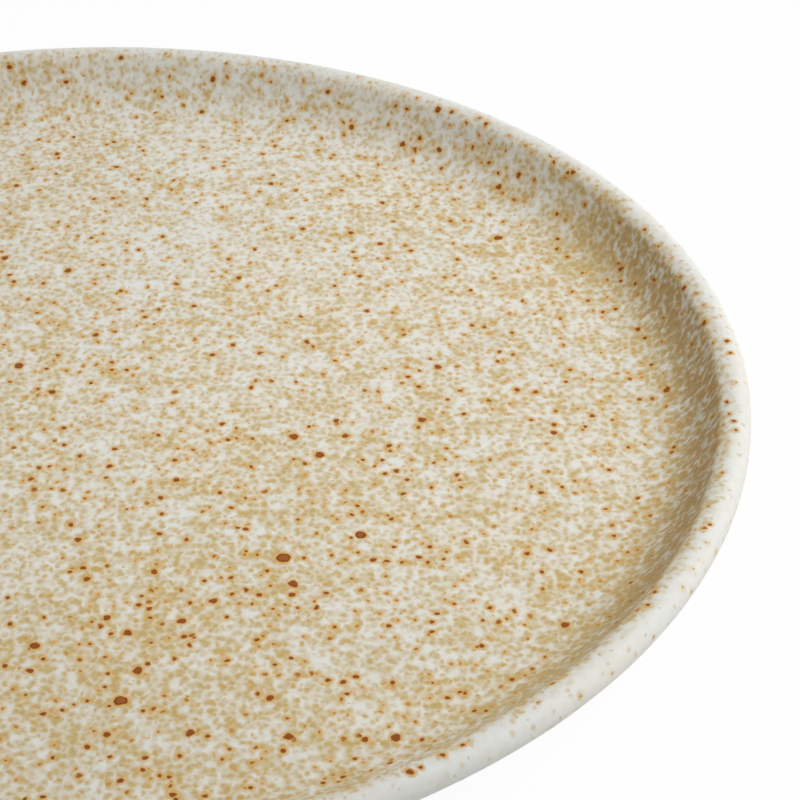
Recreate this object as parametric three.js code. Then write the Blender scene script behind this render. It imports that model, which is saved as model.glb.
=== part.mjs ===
// A speckled stoneware flat plate, turned about +Z.
// The frame's origin is the centre of the plane that the foot ring stands on. Sizes are in millimetres.
// Three pieces make it: the fired clay body, the glaze coat that wraps the face, lip and outside,
// and the separate island of glaze in the recess inside the foot ring. The foot itself is bare clay.
import * as THREE from "three";

// Driving dimensions of the glazed plate
const PLATE_DIAMETER = 270; // across the outermost points of the lip
const RIM_WIDTH = 24; // lip's outer edge in to where the flat face ends and the cove starts to rise
const OUTSIDE_WIDTH = 26; // lip's outer edge in to where the flat underside ends and the outside starts to rise
const WELL_DEPTH = 10.5; // crest of the lip down to the flat face
const LIP_THICKNESS = 5.6; // twice the radius of the lip's round outer side
const LIP_INNER_RADIUS = 4.5; // softer round from the crest of the lip down into the cove
const FLOOR_THICKNESS = 6; // flat face down to the glazed underside outside the foot ring
const INNER_WALL_ANGLE = THREE.MathUtils.degToRad(52); // steepest slope of the cove, where it meets the lip's round
const OUTER_WALL_ANGLE = THREE.MathUtils.degToRad(45); // slope of the outside where it runs into the lip

// Driving dimensions of the foot ring
const FOOT_INSET = 46; // lip's outer edge in to the foot ring's outer side
const FOOT_WIDTH = 6; // across the ring, outer side to inner side
const FOOT_HEIGHT = 2.5; // glazed underside down to the plane that the foot stands on
const FOOT_EDGE_RADIUS = 1; // rounding of the ring's two lower edges
const FOOT_FLARE = 0.8; // how much wider the ring is at its root, on each side
const FOOT_WELL_DEPTH = 2.6; // clay ceiling inside the ring above the plane that the foot stands on

// Driving dimensions of the glaze
const GLAZE_THICKNESS = 0.5;
const BARE_OUTSIDE_FOOT = 2; // bare clay between the ring's root and the outer coat's lower edge
const BARE_INSIDE_FOOT = 3; // bare clay between the ring's root and the island inside it

// How finely the round stretches are divided
const TURN_SEGMENTS = 64;
const COVE_STEPS = 7;
const LIP_STEPS = { inside: 4, crest: 4, outside: 2 };
const WALL_STEPS = 6;
const FOOT_EDGE_STEPS = 3;

// Pull of the two curves at their ends, as shares of the straight distance that each one spans
const COVE_PULL = { floor: 0.48, lip: 0.4 };
const WALL_PULL = { floor: 0.5, lip: 0.35 };

// Places worked out from the dimensions. A section point is (radius, height).
const plateRadius = PLATE_DIAMETER / 2;
const lipRadius = LIP_THICKNESS / 2;
const floorHeight = FOOT_HEIGHT + FLOOR_THICKNESS;
const plateHeight = floorHeight + WELL_DEPTH;
const flatRadius = plateRadius - RIM_WIDTH;
const undersideRadius = plateRadius - OUTSIDE_WIDTH;
const crest = new THREE.Vector2(plateRadius - lipRadius, plateHeight);
const footOuter = plateRadius - FOOT_INSET;
const footInner = footOuter - FOOT_WIDTH;
const glazeEndRadius = footOuter + FOOT_FLARE + BARE_OUTSIDE_FOOT;
const islandRadius = footInner - FOOT_FLARE - BARE_INSIDE_FOOT;

// Colours and surfaces: pale buff fired clay, tan-speckled glaze, and the plainer glaze under the foot
const clay = stoneware("bare_clay", 0xcdb592, 0.9);
const speckledGlaze = stoneware("speckled_glaze", 0xdbd0b4, 0.28);
const plainGlaze = stoneware("foot_glaze", 0xe2e2d8, 0.3);

function stoneware(name, color, roughness) {
  return new THREE.MeshStandardMaterial({ name, color, roughness, metalness: 0 });
}

// A cubic curve that leaves `from` along `fromWay` and arrives at `to` along `toWay`.
function easedCurve(from, fromWay, to, toWay, pull) {
  const span = from.distanceTo(to);
  const afterStart = from.clone().addScaledVector(fromWay, span * pull.floor);
  const beforeEnd = to.clone().addScaledVector(toWay, -span * pull.lip);
  return new THREE.CubicBezierCurve(from, afterStart, beforeEnd, to);
}

// The point of a round under the lip's crest whose outward normal makes this angle with +r.
function onRound(angle, radius) {
  const fromCrest = new THREE.Vector2(Math.cos(angle), Math.sin(angle) - 1);
  return fromCrest.multiplyScalar(radius).add(crest);
}

// The stretch of such a round between two angles, in the way from the inside of the plate to the outside.
function roundArc(from, to, radius) {
  return new THREE.EllipseCurve(crest.x, crest.y - radius, radius, radius, from, to, true);
}

// The glazed outline from the centre of the face, over the lip and down the outside to the coat's lower edge.
// Each stretch runs smoothly into the next, with the outside of the plate on the left of the way along it.
function coatStretches() {
  const outwards = new THREE.Vector2(1, 0);
  const upCove = new THREE.Vector2(Math.cos(INNER_WALL_ANGLE), Math.sin(INNER_WALL_ANGLE));
  const upOutside = new THREE.Vector2(Math.cos(OUTER_WALL_ANGLE), Math.sin(OUTER_WALL_ANGLE));
  const lipStart = Math.PI / 2 + INNER_WALL_ANGLE;
  const lipEnd = OUTER_WALL_ANGLE - Math.PI / 2;
  const faceCentre = new THREE.Vector2(0, floorHeight);
  const faceEdge = new THREE.Vector2(flatRadius, floorHeight);
  const wallFoot = new THREE.Vector2(undersideRadius, FOOT_HEIGHT);
  const coatEnd = new THREE.Vector2(glazeEndRadius, FOOT_HEIGHT);
  const cove = easedCurve(faceEdge, outwards, onRound(lipStart, LIP_INNER_RADIUS), upCove, COVE_PULL);
  const outside = easedCurve(wallFoot, outwards, onRound(lipEnd, lipRadius), upOutside, WALL_PULL);
  const downOutside = new THREE.CubicBezierCurve(outside.v3, outside.v2, outside.v1, outside.v0);
  return [
    { curve: new THREE.LineCurve(faceCentre, faceEdge), steps: 1 },
    { curve: cove, steps: COVE_STEPS },
    { curve: roundArc(lipStart, Math.PI / 2, LIP_INNER_RADIUS), steps: LIP_STEPS.inside },
    { curve: roundArc(Math.PI / 2, 0, lipRadius), steps: LIP_STEPS.crest },
    { curve: roundArc(0, lipEnd, lipRadius), steps: LIP_STEPS.outside },
    { curve: downOutside, steps: WALL_STEPS },
    { curve: new THREE.LineCurve(wallFoot, coatEnd), steps: 1 },
  ];
}

// Points along the stretches, each moved inwards by `depth` along the outline's normal.
function outlineAtDepth(stretches, depth) {
  const points = [];
  stretches.forEach(({ curve, steps }, place) => {
    for (let step = place === 0 ? 0 : 1; step <= steps; step++) {
      const way = curve.getTangent(step / steps);
      const normal = new THREE.Vector2(-way.y, way.x);
      points.push(curve.getPoint(step / steps).addScaledVector(normal, -depth));
    }
  });
  return points;
}

// The foot ring's section from its outer root, round both lower edges, to its inner root.
function footOutline() {
  const edge = FOOT_EDGE_RADIUS;
  const outerEdge = new THREE.EllipseCurve(footOuter - edge, edge, edge, edge, 0, -Math.PI / 2, true);
  const innerEdge = new THREE.EllipseCurve(footInner + edge, edge, edge, edge, -Math.PI / 2, -Math.PI, true);
  return [
    new THREE.Vector2(footOuter + FOOT_FLARE, FOOT_HEIGHT + GLAZE_THICKNESS),
    ...outerEdge.getPoints(FOOT_EDGE_STEPS),
    ...innerEdge.getPoints(FOOT_EDGE_STEPS),
    new THREE.Vector2(footInner - FOOT_FLARE, FOOT_WELL_DEPTH),
  ];
}

// A solid turned about +Z from a section that starts and ends on the axis.
function turned(name, section, material) {
  const geometry = new THREE.LatheGeometry(section, TURN_SEGMENTS).rotateX(Math.PI / 2);
  const mesh = new THREE.Mesh(geometry, material);
  mesh.name = name;
  return mesh;
}

const glazedOutline = outlineAtDepth(coatStretches(), 0);
const clayOutline = outlineAtDepth(coatStretches(), GLAZE_THICKNESS);
const wellCentre = new THREE.Vector2(0, FOOT_WELL_DEPTH);

const plate = new THREE.Group();
plate.name = "speckled_flat_plate";
plate.add(
  turned("stoneware_body", [...clayOutline, ...footOutline(), wellCentre].reverse(), clay),
  turned("face_glaze", [...clayOutline, ...glazedOutline.toReversed()], speckledGlaze),
  turned(
    "foot_well_glaze",
    [
      new THREE.Vector2(0, FOOT_WELL_DEPTH - GLAZE_THICKNESS),
      new THREE.Vector2(islandRadius - GLAZE_THICKNESS, FOOT_WELL_DEPTH - GLAZE_THICKNESS),
      new THREE.Vector2(islandRadius, FOOT_WELL_DEPTH),
      wellCentre,
    ],
    plainGlaze,
  ),
);

export default plate;
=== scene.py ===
"""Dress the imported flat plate: its round glaze coats, its bare clay foot and the iron specks in the glaze.

Lengths are in millimetres until a mesh is made. The plate turns about +Z and its foot stands on z = 0.
A place on the glaze is its distance along the section from the centre of the face, and its turn.
"""

import logging
import math
from dataclasses import dataclass
from enum import Enum
from random import Random
from typing import ClassVar

import bpy
import numpy as np
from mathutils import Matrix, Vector, noise


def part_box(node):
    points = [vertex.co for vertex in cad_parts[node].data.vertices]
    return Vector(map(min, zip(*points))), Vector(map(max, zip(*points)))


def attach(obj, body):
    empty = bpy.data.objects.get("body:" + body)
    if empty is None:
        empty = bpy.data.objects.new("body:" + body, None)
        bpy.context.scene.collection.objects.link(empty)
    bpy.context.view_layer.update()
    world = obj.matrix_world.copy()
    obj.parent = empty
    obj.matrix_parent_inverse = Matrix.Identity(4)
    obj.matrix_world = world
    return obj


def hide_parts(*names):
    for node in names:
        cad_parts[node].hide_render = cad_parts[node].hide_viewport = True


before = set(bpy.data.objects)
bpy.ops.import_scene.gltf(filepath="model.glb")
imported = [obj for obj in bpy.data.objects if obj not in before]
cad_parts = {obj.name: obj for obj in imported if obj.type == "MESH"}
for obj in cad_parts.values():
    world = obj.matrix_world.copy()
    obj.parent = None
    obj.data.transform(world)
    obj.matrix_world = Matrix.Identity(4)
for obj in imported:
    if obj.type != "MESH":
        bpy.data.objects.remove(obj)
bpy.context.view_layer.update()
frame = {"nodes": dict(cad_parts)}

LOG = logging.getLogger("flat_plate")
METRES = 0.001  # metres in a millimetre
ROOT = "root"
BAKE_MAP = "OFBake"
SPREAD = "spread"  # attribute: the glaze laid out flat, and the place along the section
SPECK = "speck"  # attribute: distance from a speck's edge, its heart and its stain's strength
EDGE_BENDS = (30, 60, 90)  # degrees, for the rings that round a coat's edge

Colour = tuple[float, float, float, float]
Point = tuple[float, float, float]
Settings = dict[str, object]
Sockets = dict[int | str, object]
Number = "Wire | float"
Stretch = tuple[np.ndarray, np.ndarray]  # points of a section, and the way along at each
SightedSpecks = tuple[float, tuple[tuple[int, int], ...]]  # a core's width, and pixels across and down


class SpeckKind(Enum):
    """How an iron speck has melted into the glaze."""

    RUST = "solid rust brown"
    RINGED = "dark ring round a dull centre"


class Side(Enum):
    """Which way up a stretch of glaze is laid out flat."""

    FACE = "seen from above"
    OUTSIDE = "seen from below"


def paint(red: int, green: int, blue: int) -> Colour:
    """Turn a colour as the eye sees it, 0 to 255 a channel, into the linear one that shaders take.

    Args:
        red: Red level.
        green: Green level.
        blue: Blue level.

    Returns:
        The linear colour with full alpha.
    """
    levels = (level / 255 for level in (red, green, blue))
    linear = (level / 12.92 if level <= 0.04045 else ((level + 0.055) / 1.055) ** 2.4 for level in levels)
    return (*linear, 1.0)


class Wire:
    """One output of a shader node. Arithmetic on it adds Math nodes to its sheet."""

    def __init__(self, sheet: "NodeSheet", socket: bpy.types.NodeSocket) -> None:
        """Keep the socket and the sheet that its node is on."""
        self.sheet = sheet
        self.socket = socket

    def _math(self, operation: str, first: Number, second: Number) -> "Wire":
        """Add a Math node for one operation."""
        return self.sheet.wire("ShaderNodeMath", {"operation": operation}, {0: first, 1: second})

    def __add__(self, other: Number) -> "Wire":
        """Add a value."""
        return self._math("ADD", self, other)

    def __radd__(self, other: Number) -> "Wire":
        """Be added to a value."""
        return self._math("ADD", other, self)

    def __sub__(self, other: Number) -> "Wire":
        """Take a value away."""
        return self._math("SUBTRACT", self, other)

    def __rsub__(self, other: Number) -> "Wire":
        """Be taken away from a value."""
        return self._math("SUBTRACT", other, self)

    def __mul__(self, other: Number) -> "Wire":
        """Multiply by a value."""
        return self._math("MULTIPLY", self, other)

    def __rmul__(self, other: Number) -> "Wire":
        """Be multiplied by a value."""
        return self._math("MULTIPLY", other, self)

    def __pow__(self, other: Number) -> "Wire":
        """Raise to a power."""
        return self._math("POWER", self, other)

    def __gt__(self, other: Number) -> "Wire":
        """Give 1 where this is greater and 0 elsewhere."""
        return self._math("GREATER_THAN", self, other)

    def at_least(self, other: Number) -> "Wire":
        """Give the greater of two values."""
        return self._math("MAXIMUM", self, other)


class NodeSheet:
    """A node tree that is filled through one method."""

    def __init__(self, tree: bpy.types.NodeTree) -> None:
        """Start with an empty tree."""
        self.tree = tree
        self.tree.nodes.clear()

    def node(self, kind: str, settings: Settings, sockets: Sockets) -> bpy.types.Node:
        """Add one node.

        Args:
            kind: The node's Blender type.
            settings: Properties of the node, which are set first.
            sockets: Values or wires for its inputs, by name or place.

        Returns:
            The new node.
        """
        made = self.tree.nodes.new(kind)
        for name, value in settings.items():
            setattr(made, name, value)
        for key, value in sockets.items():
            if isinstance(value, Wire):
                self.tree.links.new(value.socket, made.inputs[key])
            else:
                made.inputs[key].default_value = value
        return made

    def wire(self, kind: str, settings: Settings, sockets: Sockets, output: int | str = 0) -> Wire:
        """Add one node and wrap one of its outputs.

        Args:
            kind: The node's Blender type.
            settings: Properties of the node, which are set first.
            sockets: Values or wires for its inputs, by name or place.
            output: Name or place of the output.

        Returns:
            The wrapped output.
        """
        return Wire(self, self.node(kind, settings, sockets).outputs[output])

    def stored(self, name: str) -> Wire:
        """Read a vector that the mesh holds."""
        return self.wire("ShaderNodeAttribute", {"attribute_name": name}, {}, "Vector")

    def parts(self, vector: Wire) -> tuple[Wire, Wire, Wire]:
        """Split a vector into its three values."""
        node = self.node("ShaderNodeSeparateXYZ", {}, {0: vector})
        return tuple(Wire(self, socket) for socket in node.outputs)

    def ease(self, value: Number, start: Number, end: Number) -> Wire:
        """Rise smoothly from 0 where the value is at the start to 1 where it is at the end."""
        sockets = {"Value": value, "From Min": start, "From Max": end}
        return self.wire("ShaderNodeMapRange", {"interpolation_type": "SMOOTHSTEP"}, sockets)

    def ramp(self, value: Number, start: float) -> Wire:
        """Rise evenly from 0 at the start to 1 one unit further on."""
        sockets = {"Value": value, "From Min": start, "From Max": start + 1.0}
        return self.wire("ShaderNodeMapRange", {}, sockets)

    def blend(self, share: Number, first: object, second: object) -> Wire:
        """Mix two colours, with the given share of the second."""
        return self.wire("ShaderNodeMix", {"data_type": "RGBA"}, {0: share, 6: first, 7: second}, 2)

    def vector(self, operation: str, first: object, second: object) -> Wire:
        """Add a Vector Math node for two vectors."""
        return self.wire("ShaderNodeVectorMath", {"operation": operation}, {0: first, 1: second})

    def gap(self, first: object, second: object) -> Wire:
        """Measure the distance between two places."""
        return self.wire("ShaderNodeVectorMath", {"operation": "DISTANCE"}, {0: first, 1: second}, "Value")

    def outwards(self, place: Wire) -> Wire:
        """Give the unit vector from the origin towards a place."""
        return self.wire("ShaderNodeVectorMath", {"operation": "NORMALIZE"}, {0: place})

    def clouds(self, place: Wire, size: float, detail: float = 2.0, flat: bool = True) -> Wire:
        """Add soft noise.

        Args:
            place: Where on the surface, in millimetres.
            size: Width of the largest lumps in millimetres.
            detail: How many finer layers lie over them.
            flat: Whether the noise lies in the plane rather than in space.

        Returns:
            Values around 0, mostly between -0.3 and 0.3.
        """
        settings = {"noise_dimensions": "2D" if flat else "3D"}
        sockets = {"Vector": place, "Scale": 1 / size, "Detail": detail}
        return self.wire("ShaderNodeTexNoise", settings, sockets, "Fac") - 0.5

    def stirred(self, place: Wire, size: float, amount: float) -> Wire:
        """Push places about by noise, so that round marks come out uneven.

        Args:
            place: Where on the surface, in millimetres.
            size: Width of the stir's lumps in millimetres.
            amount: Greatest push in millimetres.

        Returns:
            The moved places.
        """
        sockets = {"Vector": place, "Scale": 1 / size, "Detail": 1.0}
        push = self.wire("ShaderNodeTexNoise", {"noise_dimensions": "2D"}, sockets, "Color")
        centred = self.vector("SUBTRACT", push, (0.5, 0.5, 0.5))
        scaled = self.vector("MULTIPLY", centred, (2 * amount, 2 * amount, 0.0))
        return self.vector("ADD", place, scaled)

    def cells(self, place: Wire, size: float) -> tuple[Wire, Wire, Wire, Wire]:
        """Scatter points over the surface.

        Args:
            place: Where on the surface, in millimetres.
            size: Mean spacing of the points in millimetres.

        Returns:
            The distance to the nearest point in millimetres, and three random values of that point.
        """
        sockets = {"Vector": place, "Scale": 1 / size}
        node = self.node("ShaderNodeTexVoronoi", {"voronoi_dimensions": "2D"}, sockets)
        chance = self.parts(Wire(self, node.outputs["Color"]))
        return (Wire(self, node.outputs["Distance"]) * size, *chance)

    def relief(self, height: Wire, depth: float) -> Wire:
        """Turn a height from 0 to 1 into a normal, with the relief's depth in millimetres."""
        return self.wire("ShaderNodeBump", {}, {"Distance": depth * METRES, "Height": height}, "Normal")

    def close(self, colour: Wire, roughness: object, normal: Wire, gloss: float) -> None:
        """Wire the surface's shader and the material's output.

        Args:
            colour: The base colour.
            roughness: A value or a wire.
            normal: The bumped normal.
            gloss: Level of the mirror-like share.
        """
        sockets = {"Base Color": colour, "Roughness": roughness, "Normal": normal}
        sockets["Specular IOR Level"] = gloss
        shader = self.wire("ShaderNodeBsdfPrincipled", {}, sockets, "BSDF")
        self.node("ShaderNodeOutputMaterial", {}, {"Surface": shader})


def fresh_material(name: str) -> tuple[bpy.types.Material, NodeSheet]:
    """Make a material with an empty node sheet.

    Args:
        name: The material's name.

    Returns:
        The material and its sheet.
    """
    material = bpy.data.materials.new(name)
    material.use_nodes = True
    return material, NodeSheet(material.node_tree)


@dataclass(frozen=True)
class Patch:
    """A part of the face where the mottling is thicker or thinner than elsewhere."""

    across: int  # photo pixel from the left
    down: int  # photo pixel from the top
    reach: float  # millimetres
    push: float  # added to the iron's thickness


@dataclass(frozen=True)
class PhotoView:
    """The photograph's camera, found from the lip's outline. Lengths are in millimetres."""

    x: float = 67.48
    y: float = -424.06
    z: float = 312.31
    pitch: float = 0.61665  # radians below the horizon
    focal: float = 2659.9  # pixels
    frame: int = 800  # pixels each way
    sensor: float = 36.0

    def ray(self, across: float, down: float) -> tuple[Vector, Vector]:
        """Return the line of sight through a pixel.

        Args:
            across: Pixels from the left edge.
            down: Pixels from the top edge.

        Returns:
            The camera's place and the direction of sight.
        """
        right = (across - self.frame / 2) / self.focal
        up = (self.frame / 2 - down) / self.focal
        rise = math.sin(self.pitch)
        level = math.cos(self.pitch)
        return Vector((self.x, self.y, self.z)), Vector((right, level + up * rise, up * level - rise))

    def build(self) -> None:
        """Add the camera and make it the scene's own."""
        data = bpy.data.cameras.new("photo_camera")
        data.sensor_width = self.sensor
        data.lens = self.sensor * self.focal / self.frame
        camera = bpy.data.objects.new("photo_camera", data)
        camera.location = Vector((self.x, self.y, self.z)) * METRES
        camera.rotation_euler = (math.pi / 2 - self.pitch, 0.0, 0.0)
        bpy.context.collection.objects.link(camera)
        bpy.context.scene.camera = camera


@dataclass
class PlateSection:
    """The glazed outline from the centre of the face, over the lip and under to the coat's lower edge."""

    radius: float
    height: float
    underside: float
    rim_width: float = 24.0
    outside_width: float = 26.0
    well_depth: float = 10.5
    lip_thickness: float = 5.6
    inner_round: float = 4.5  # softer round from the crest of the lip into the cove
    inner_wall: float = math.radians(52)
    outer_wall: float = math.radians(45)
    cove_pull: tuple[float, float] = (0.48, 0.4)
    wall_pull: tuple[float, float] = (0.5, 0.35)
    coat_inset: float = 43.2  # lip's outer edge in to the coat's lower edge
    swell: float = 0.05  # how far the glaze's surface rises and falls
    swell_size: float = 14.0
    ripple_size: float = 6.0
    face_steps: int = 46
    cove_steps: int = 30
    lip_steps: tuple[int, int, int] = (10, 12, 6)  # inside, over the crest, and outside
    wall_steps: int = 28
    underside_steps: int = 10
    sight_steps: int = 400  # levels that are tried along a line of sight
    sight_slack: float = 0.02

    def __post_init__(self) -> None:
        """Lay the stretches end to end and measure along them."""
        self.face_level = self.height - self.well_depth
        self.flat_radius = self.radius - self.rim_width
        self.coat_end = self.radius - self.coat_inset
        lip = self.lip_thickness / 2
        self.crest_point = np.array([self.radius - lip, self.height])
        stretches = self._stretches()
        points = [stretches[0][0][:1]]
        ways = [stretches[0][1][:1]]
        marks = [0]
        for stretch, way in stretches:
            points.append(stretch[1:])
            ways.append(way[1:])
            marks.append(marks[-1] + len(stretch) - 1)
        self.points = np.concatenate(points)
        ways = np.concatenate(ways)
        self.normals = np.stack([-ways[:, 1], ways[:, 0]], axis=1)
        steps = np.linalg.norm(np.diff(self.points, axis=0), axis=1)
        self.along = np.concatenate([[0.0], np.cumsum(steps)])
        self.marks = marks
        self.lip_start = self.along[marks[2]]
        self.crest = self.along[marks[3]]
        self.turn_under = self.along[marks[5]]
        self.end = self.along[-1]

    def _on_round(self, angles: np.ndarray, radius: float) -> np.ndarray:
        """Return points of a round under the crest whose outward normals have these angles from +r."""
        circle = np.stack([np.cos(angles), np.sin(angles) - 1.0], axis=1)
        return self.crest_point + circle * radius

    def _arc(self, start: float, end: float, radius: float, steps: int) -> Stretch:
        """Follow a round of the lip from the inside of the plate to the outside.

        Args:
            start: Angle of the first point's normal from +r.
            end: Angle of the last point's normal.
            radius: The round's radius.
            steps: Number of steps.

        Returns:
            Points, and the way along at each.
        """
        angles = np.linspace(start, end, steps + 1)
        return self._on_round(angles, radius), np.stack([np.sin(angles), -np.cos(angles)], axis=1)

    @staticmethod
    def _eased(ends: np.ndarray, ways: np.ndarray, pull: tuple[float, float], steps: int) -> Stretch:
        """Follow a cubic curve that leaves and arrives along given ways.

        Args:
            ends: Its two end points.
            ways: The unit way along at each end.
            pull: Pull at each end, as shares of the straight distance.
            steps: Number of steps.

        Returns:
            Points, and the way along at each.
        """
        span = np.linalg.norm(ends[1] - ends[0])
        first = ends[0] + ways[0] * span * pull[0]
        second = ends[1] - ways[1] * span * pull[1]
        t = np.linspace(0, 1, steps + 1)[:, None]
        u = 1 - t
        points = u**3 * ends[0] + 3 * u * u * t * first + 3 * u * t * t * second + t**3 * ends[1]
        rate = u * u * (first - ends[0]) + 2 * u * t * (second - first) + t * t * (ends[1] - second)
        return points, rate / np.linalg.norm(rate, axis=1, keepdims=True)

    @staticmethod
    def _straight(start: tuple, end: tuple, steps: int) -> Stretch:
        """Follow a straight line.

        Args:
            start: Its first point.
            end: Its last point.
            steps: Number of steps.

        Returns:
            Points, and the way along at each.
        """
        points = np.linspace(start, end, steps + 1)
        way = (points[-1] - points[0]) / np.linalg.norm(points[-1] - points[0])
        return points, np.repeat(way[None], steps + 1, axis=0)

    def _stretches(self) -> list[Stretch]:
        """Lay out the stretches of the section.

        Returns:
            The face, the cove, three arcs of the lip, the outside and the underside in order.
        """
        outwards = np.array([1.0, 0.0])
        up_cove = np.array([math.cos(self.inner_wall), math.sin(self.inner_wall)])
        up_outside = np.array([math.cos(self.outer_wall), math.sin(self.outer_wall)])
        lip_in = math.pi / 2 + self.inner_wall
        lip_out = self.outer_wall - math.pi / 2
        face_edge = np.array([self.flat_radius, self.face_level])
        wall_foot = np.array([self.radius - self.outside_width, self.underside])
        outer_round = self.lip_thickness / 2
        cove_ends = np.array([face_edge, self._on_round(np.array([lip_in]), self.inner_round)[0]])
        wall_ends = np.array([wall_foot, self._on_round(np.array([lip_out]), outer_round)[0]])
        wall_ways = np.array([outwards, up_outside])
        wall, wall_ways = self._eased(wall_ends, wall_ways, self.wall_pull, self.wall_steps)
        cove_ways = np.array([outwards, up_cove])
        inside, over, outside = self.lip_steps
        return [
            self._straight((0.0, self.face_level), tuple(face_edge), self.face_steps),
            self._eased(cove_ends, cove_ways, self.cove_pull, self.cove_steps),
            self._arc(lip_in, math.pi / 2, self.inner_round, inside),
            self._arc(math.pi / 2, 0.0, outer_round, over),
            self._arc(0.0, lip_out, outer_round, outside),
            (wall[::-1], -wall_ways[::-1]),
            self._straight(tuple(wall_foot), (self.coat_end, self.underside), self.underside_steps),
        ]

    def at(self, along: float) -> tuple[float, float, float, float]:
        """Return the radius, height and outward normal at a place along the section."""
        columns = (self.points[:, 0], self.points[:, 1], self.normals[:, 0], self.normals[:, 1])
        return tuple(float(np.interp(along, self.along, column)) for column in columns)

    def surface(self, along: float, turn: float, lift: float = 0.0) -> Point:
        """Return a point of the glaze's gently uneven surface.

        Args:
            along: Place along the section.
            turn: Angle about the axis.
            lift: Distance above the surface.

        Returns:
            The point's x, y and z.
        """
        radius, level, out, up = self.at(along)
        spot = Vector((radius * math.cos(turn), radius * math.sin(turn), 3.0 * level))
        rise = self.swell * (noise.noise(spot / self.swell_size) + 0.5 * noise.noise(spot / self.ripple_size))
        rise += lift
        return (
            (radius + out * rise) * math.cos(turn),
            (radius + out * rise) * math.sin(turn),
            level + up * rise,
        )

    def laid_flat(self, along: float, turn: float, side: Side) -> Point:
        """Lay a place of the glaze out in a plane, about true to size.

        Args:
            along: Place along the section.
            turn: Angle about the axis.
            side: Which layout to use.

        Returns:
            The place in the plane, and the place along the section.
        """
        if side is Side.FACE:
            return along * math.cos(turn), along * math.sin(turn), along
        reach = self.coat_end + self.end - along
        apart = 4 * self.radius
        return apart + reach * math.cos(turn), reach * math.sin(turn), along

    def seen_at(self, view: PhotoView, across: float, down: float) -> tuple[float, float]:
        """Find the place of the face, cove or lip that a photo pixel shows.

        Args:
            view: The photograph's camera.
            across: Pixels from the left edge.
            down: Pixels from the top edge.

        Returns:
            The place along the section and the turn.
        """
        start, way = view.ray(across, down)
        levels = np.linspace(self.height, self.face_level, self.sight_steps)
        travel = (levels - start.z) / way.z
        xs = start.x + way.x * travel
        ys = start.y + way.y * travel
        crest = self.marks[3] + 1
        reach = np.hypot(xs, ys)
        ground = np.interp(reach, self.points[:crest, 0], self.points[:crest, 1])
        hit = int(np.argmax(levels <= ground + self.sight_slack))
        along = np.interp(reach[hit], self.points[:crest, 0], self.along[:crest])
        return float(along), math.atan2(ys[hit], xs[hit])


class TurnedForm:
    """A closed mesh of rings about +Z, from a pole on the axis to another."""

    def __init__(self, name: str, segments: int) -> None:
        """Start with no rings.

        Args:
            name: The piece's name.
            segments: Points in each ring.
        """
        self.name = name
        self.turns = np.linspace(0, 2 * math.pi, segments, endpoint=False)
        self.rings: list[list[Point]] = []

    def add_circle(self, radius: float, level: float) -> None:
        """Add an even ring."""
        self.rings.append([(radius * math.cos(turn), radius * math.sin(turn), level) for turn in self.turns])

    def build(self, first_pole: tuple, last_pole: tuple) -> bpy.types.Object:
        """Join the rings and poles into a smooth mesh.

        Args:
            first_pole: Point on the axis before the first ring.
            last_pole: Point on the axis after the last ring.

        Returns:
            The new object.
        """
        count = len(self.turns)
        points = [first_pole, *(point for ring in self.rings for point in ring), last_pole]
        last = len(points) - 1
        around = [(j, (j + 1) % count) for j in range(count)]
        faces = [(0, 1 + a, 1 + b) for a, b in around]
        for ring in range(len(self.rings) - 1):
            low = 1 + ring * count
            faces.extend((low + a, low + count + a, low + count + b, low + b) for a, b in around)
        low = last - count
        faces.extend((low + a, last, low + b) for a, b in around)
        return mesh_object(self.name, points, faces)

    def corners(self) -> list[tuple[int, int, float]]:
        """List every face corner in the mesh's order.

        Returns:
            For each corner its band, its ring (-1 and the ring count for the poles) and its turn.
        """
        count = len(self.turns)
        step = 2 * math.pi / count
        found = []
        for turn in self.turns:
            found.extend([(-1, -1, turn + step / 2), (-1, 0, turn), (-1, 0, turn + step)])
        for band in range(len(self.rings) - 1):
            for turn in self.turns:
                found.extend([(band, band, turn), (band, band + 1, turn)])
                found.extend([(band, band + 1, turn + step), (band, band, turn + step)])
        last = len(self.rings) - 1
        for turn in self.turns:
            found.extend([(last, last, turn), (last, last + 1, turn + step / 2), (last, last, turn + step)])
        return found


def wavering(turn: float, level: float, waves: float, ripples: float) -> float:
    """Wander about 0 on the way round the axis, and come back to the start.

    Args:
        turn: Angle about the axis.
        level: Picks one wander among many.
        waves: How closely the large waves follow each other.
        ripples: The same for the small ones.

    Returns:
        A value that is mostly between -1 and 1.
    """
    spot = Vector((math.cos(turn), math.sin(turn), level))
    return noise.noise(spot * waves) + 0.6 * noise.noise(spot * ripples)


def mesh_object(name: str, points: list, faces: list) -> bpy.types.Object:
    """Make a smooth mesh object from points in millimetres.

    Args:
        name: The piece's name.
        points: Corner points.
        faces: Corner numbers of each face.

    Returns:
        The object, linked to the scene and riding on the plate.
    """
    mesh = bpy.data.meshes.new(name)
    mesh.from_pydata([tuple(value * METRES for value in point) for point in points], [], faces)
    mesh.shade_smooth()
    piece = bpy.data.objects.new(name, mesh)
    bpy.context.collection.objects.link(piece)
    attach(piece, ROOT)
    return piece


def sharpen(piece: bpy.types.Object, rim: list[int]) -> None:
    """Break the smooth shading along the edges whose two ends are rim points.

    Args:
        piece: The piece.
        rim: Numbers of the rim points.
    """
    mesh = piece.data
    on_rim = np.zeros(len(mesh.vertices), bool)
    on_rim[rim] = True
    ends = np.zeros(2 * len(mesh.edges), np.int32)
    mesh.edges.foreach_get("vertices", ends)
    sharp = on_rim[ends].reshape(-1, 2).all(axis=1)
    layer = mesh.attributes.get("sharp_edge") or mesh.attributes.new("sharp_edge", "BOOLEAN", "EDGE")
    layer.data.foreach_set("value", sharp)


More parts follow.
